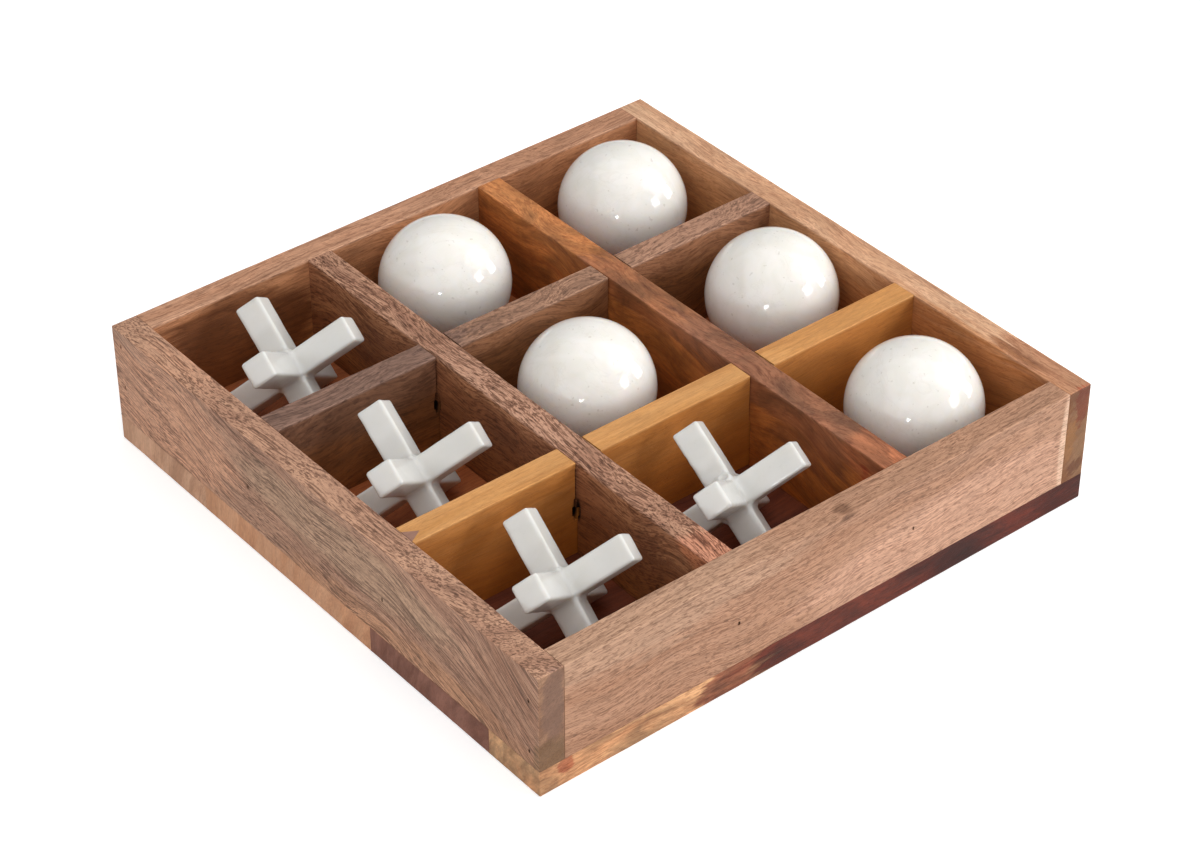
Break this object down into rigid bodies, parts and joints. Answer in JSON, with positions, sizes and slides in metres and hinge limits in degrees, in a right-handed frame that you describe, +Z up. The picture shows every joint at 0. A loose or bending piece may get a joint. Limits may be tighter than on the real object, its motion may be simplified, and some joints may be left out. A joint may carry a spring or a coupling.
{
  "type": "tic tac toe set",
  "caption": "Square wooden tray divided into a grid of open cells by half-lapped dividers, holding loose polished stone balls and stone jacks that stand in for noughts and crosses.",
  "frame": {"origin": "centre of the tray's underside, on the table", "axes": "+Z up out of the open cells; the front wall faces -Y and the long dividers run along Y"},
  "size_m": [0.3, 0.3, 0.074],
  "materials": {
    "plank_tan": "oiled, pale tan sapwood",
    "plank_dark": "oiled, purple-brown heartwood",
    "plank_pink": "oiled, pinkish brown",
    "plank_gold": "oiled, golden tan",
    "left_wall_wood": "oiled, greyish tan with strong slanting grain",
    "right_wall_wood": "oiled, peach tan",
    "front_wall_wood": "oiled, pinkish tan with fine dark pores",
    "back_wall_wood": "oiled, pinkish tan",
    "long_divider_left_wood": "oiled, pinkish brown with dark speckles",
    "long_divider_right_wood": "oiled, orange brown to purple brown",
    "cross_divider_back_wood": "oiled, walnut brown",
    "cross_divider_front_wood": "oiled, golden yellow",
    "ball_stone": "polished warm white marble",
    "jack_stone": "honed and polished cool white marble",
    "brad_steel": "dark drawn wire"
  },
  "bodies": {
    "tray": {"base_plank_1": "plank_tan", "base_plank_2": "plank_dark", "base_plank_3": "plank_dark", "base_plank_4": "plank_pink", "base_plank_5": "plank_gold", "base_plank_6": "plank_pink", "left_wall": "left_wall_wood", "right_wall": "right_wall_wood", "front_wall": "front_wall_wood", "back_wall": "back_wall_wood", "long_divider_left": "long_divider_left_wood", "long_divider_right": "long_divider_right_wood", "cross_divider_front": "cross_divider_front_wood", "cross_divider_back": "cross_divider_back_wood", "left_wall_brads": "brad_steel", "right_wall_brads": "brad_steel", "front_wall_brads": "brad_steel", "back_wall_brads": "brad_steel", "base_brads": "brad_steel"},
    "ball_centre_piece": {"ball_centre": "ball_stone"},
    "ball_back_middle_piece": {"ball_back_middle": "ball_stone"},
    "ball_back_right_piece": {"ball_back_right": "ball_stone"},
    "ball_middle_right_piece": {"ball_middle_right": "ball_stone"},
    "ball_front_right_piece": {"ball_front_right": "ball_stone"},
    "jack_front_left_piece": {"jack_front_left": "jack_stone"},
    "jack_middle_left_piece": {"jack_middle_left": "jack_stone"},
    "jack_back_left_piece": {"jack_back_left": "jack_stone"},
    "jack_front_middle_piece": {"jack_front_middle": "jack_stone"}
  },
  "joints": [
    {"name": "lift_ball_centre", "type": "slide", "parent": "tray", "child": "ball_centre_piece", "axis": [0, 0, 1], "range_m": [0, 0.06]},
    {"name": "lift_ball_back_middle", "type": "slide", "parent": "tray", "child": "ball_back_middle_piece", "axis": [0, 0, 1], "range_m": [0, 0.06]},
    {"name": "lift_ball_back_right", "type": "slide", "parent": "tray", "child": "ball_back_right_piece", "axis": [0, 0, 1], "range_m": [0, 0.06]},
    {"name": "lift_ball_middle_right", "type": "slide", "parent": "tray", "child": "ball_middle_right_piece", "axis": [0, 0, 1], "range_m": [0, 0.06]},
    {"name": "lift_ball_front_right", "type": "slide", "parent": "tray", "child": "ball_front_right_piece", "axis": [0, 0, 1], "range_m": [0, 0.06]},
    {"name": "lift_jack_front_left", "type": "slide", "parent": "tray", "child": "jack_front_left_piece", "axis": [0, 0, 1], "range_m": [0, 0.06]},
    {"name": "lift_jack_middle_left", "type": "slide", "parent": "tray", "child": "jack_middle_left_piece", "axis": [0, 0, 1], "range_m": [0, 0.06]},
    {"name": "lift_jack_back_left", "type": "slide", "parent": "tray", "child": "jack_back_left_piece", "axis": [0, 0, 1], "range_m": [0, 0.06]},
    {"name": "lift_jack_front_middle", "type": "slide", "parent": "tray", "child": "jack_front_middle_piece", "axis": [0, 0, 1], "range_m": [0, 0.06]}
  ]
}
